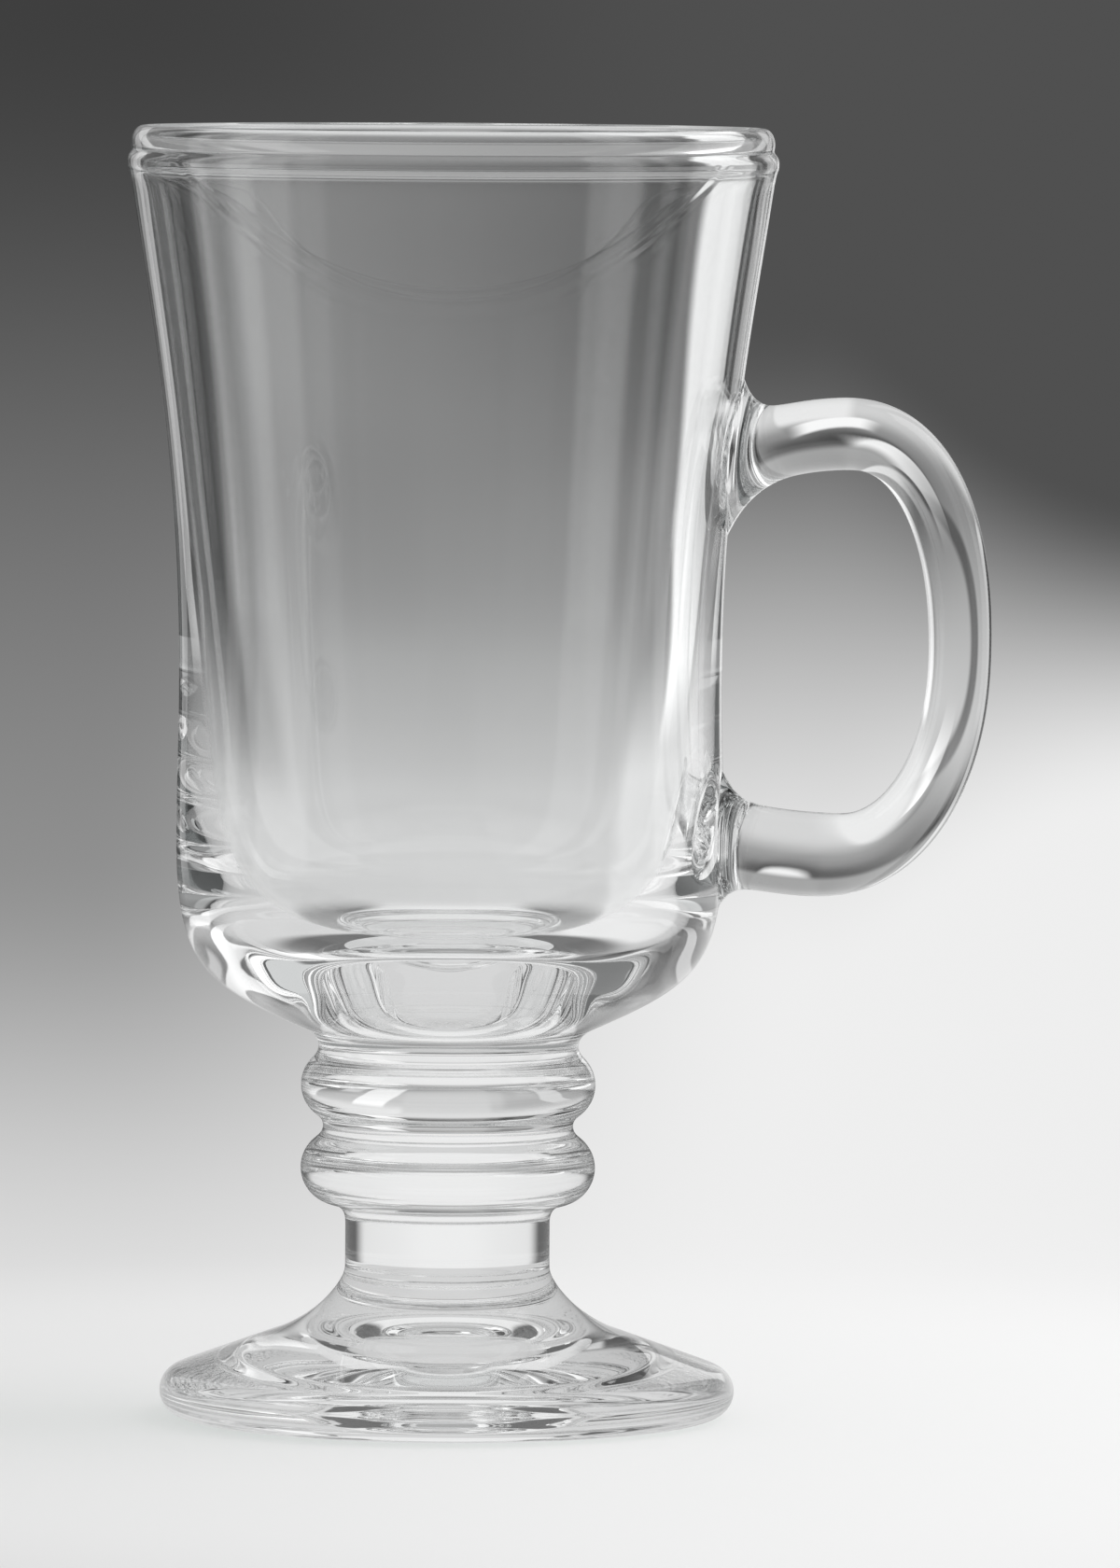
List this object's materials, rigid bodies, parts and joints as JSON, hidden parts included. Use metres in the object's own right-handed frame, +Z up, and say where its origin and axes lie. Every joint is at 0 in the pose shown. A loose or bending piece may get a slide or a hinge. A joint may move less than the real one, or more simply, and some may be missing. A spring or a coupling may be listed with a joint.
{
  "type": "coffee cup",
  "caption": "Tall clear glass coffee mug with a flared bowl, a D-shaped handle, a short stem with round knops and a wide round foot.",
  "frame": {"origin": "centre of the plane that the foot rests on, on the axis of the bowl", "axes": "+Z up along the axis of bowl, stem and foot; +X from the axis towards the handle; +Y across the handle"},
  "size_m": [0.1007, 0.0756, 0.15],
  "materials": {
    "clear_glass": "polished"
  },
  "bodies": {
    "root": {"bowl": "clear_glass", "handle": "clear_glass", "stem": "clear_glass", "foot": "clear_glass"}
  },
  "joints": []
}
